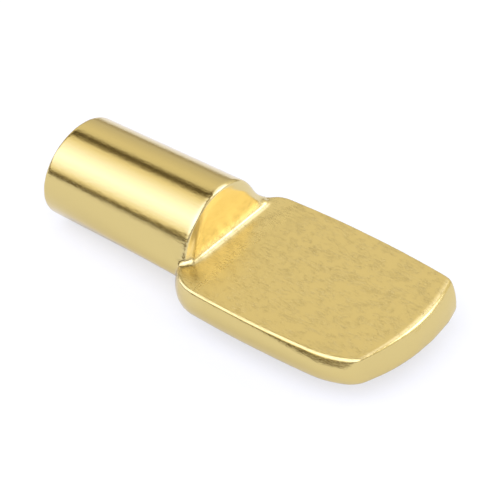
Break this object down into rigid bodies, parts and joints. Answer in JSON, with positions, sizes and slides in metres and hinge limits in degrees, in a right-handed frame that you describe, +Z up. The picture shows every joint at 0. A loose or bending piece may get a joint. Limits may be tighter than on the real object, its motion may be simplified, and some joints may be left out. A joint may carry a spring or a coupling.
{
  "type": "shelf support pin",
  "caption": "Spoon shelf support pin: a round pin plugs into a cabinet hole and its flat, bowed paddle carries the shelf.",
  "frame": {"origin": "middle of the part's underside, below the pin's axis", "axes": "+X from the pin towards the paddle's tip, +Z up out of the seat, +Y to the left of the pin seen from its free end"},
  "size_m": [0.024, 0.01, 0.0063],
  "materials": {
    "brass_plate": "brass plating over forged steel, bright on the pin and satin on the paddle, with fine scratches on the seat"
  },
  "bodies": {
    "root": {"support_pin": "brass_plate"}
  },
  "joints": []
}
